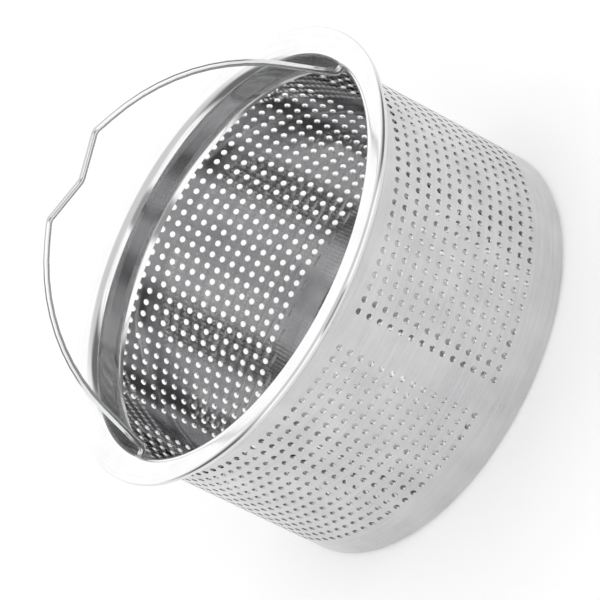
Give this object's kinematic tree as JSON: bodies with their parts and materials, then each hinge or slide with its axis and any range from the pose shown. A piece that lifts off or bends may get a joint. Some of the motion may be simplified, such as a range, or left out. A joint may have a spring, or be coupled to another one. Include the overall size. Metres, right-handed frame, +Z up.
{
  "type": "strainer basket",
  "caption": "Round perforated metal cup with a wide flanged rim that hangs in an opening, and a wire bail with a finger notch that swings up to lift it out.",
  "frame": {"origin": "centre of the cup's base, on its underside, where the basket stands", "axes": "+Z up the cup's axis and out of its mouth; X along the bail's hinge line; Y across it"},
  "size_m": [0.138, 0.138, 0.1246],
  "materials": {
    "rim_steel": "polished stainless steel pressing",
    "cup_steel": "satin stainless steel sheet, punched",
    "wire_steel": "polished stainless steel wire"
  },
  "bodies": {
    "basket": {"strainer_cup": "cup_steel", "rim_ring": "rim_steel"},
    "bail": {"bail": "wire_steel"}
  },
  "joints": [
    {"name": "bail_swing", "type": "hinge", "parent": "basket", "child": "bail", "pos_m": [0, 0, 0.06545], "axis": [1, 0, 0], "range_deg": [-85, 85]}
  ]
}
